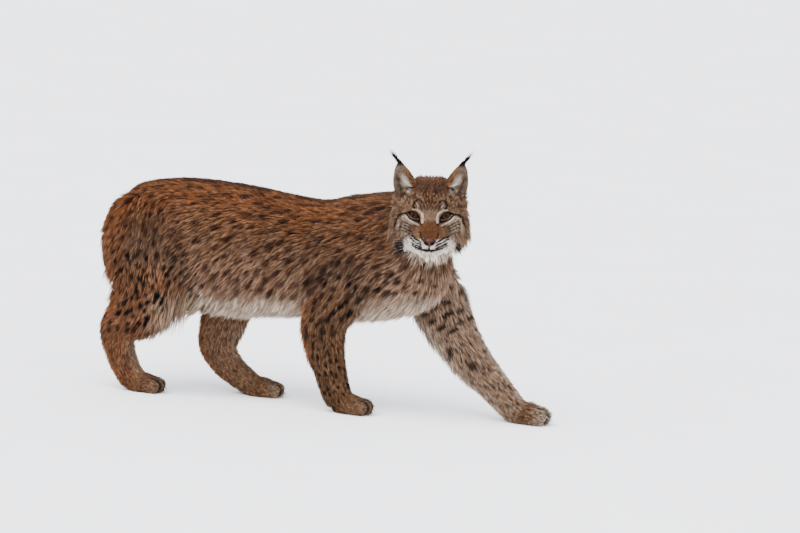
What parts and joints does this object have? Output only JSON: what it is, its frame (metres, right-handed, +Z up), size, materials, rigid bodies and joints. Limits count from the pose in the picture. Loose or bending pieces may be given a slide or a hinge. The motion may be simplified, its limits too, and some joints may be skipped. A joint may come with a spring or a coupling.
{
  "type": "eurasian lynx",
  "caption": "Life-size still model of a Eurasian lynx walking, head turned to its side, with ear tufts, cheek ruff and a short tail.",
  "frame": {"origin": "centre of the floor rectangle under the whole animal, level with its soles", "axes": "+X the way the lynx walks, +Y its left side, +Z up"},
  "size_m": [1.3006, 0.3084, 0.753],
  "materials": {
    "coat": "dense spotted winter fur",
    "face": "short fur with a pale ruff",
    "tail": "thick fur with a black tip",
    "nose": "moist bare skin",
    "eye": "clear amber eye with a dark pupil",
    "claw": "dark horn"
  },
  "bodies": {
    "root": {"torso": "coat", "neck": "coat", "head": "face", "nose": "nose", "tail": "tail", "eye_left": "eye", "eye_right": "eye", "ear_left": "face", "ear_right": "face", "leg_right_hind": "coat", "leg_left_hind": "coat", "leg_right_fore": "coat", "leg_left_fore": "coat", "foot_right_hind": "coat", "foot_left_hind": "coat", "claw_right_hind_1": "claw", "claw_right_hind_2": "claw", "claw_right_hind_3": "claw", "claw_right_hind_4": "claw", "claw_left_hind_1": "claw", "claw_left_hind_2": "claw", "claw_left_hind_3": "claw", "claw_left_hind_4": "claw", "claw_right_fore_1": "claw", "claw_right_fore_2": "claw", "claw_right_fore_3": "claw", "claw_right_fore_4": "claw", "claw_left_fore_1": "claw", "claw_left_fore_2": "claw", "claw_left_fore_3": "claw", "claw_left_fore_4": "claw"}
  },
  "joints": []
}
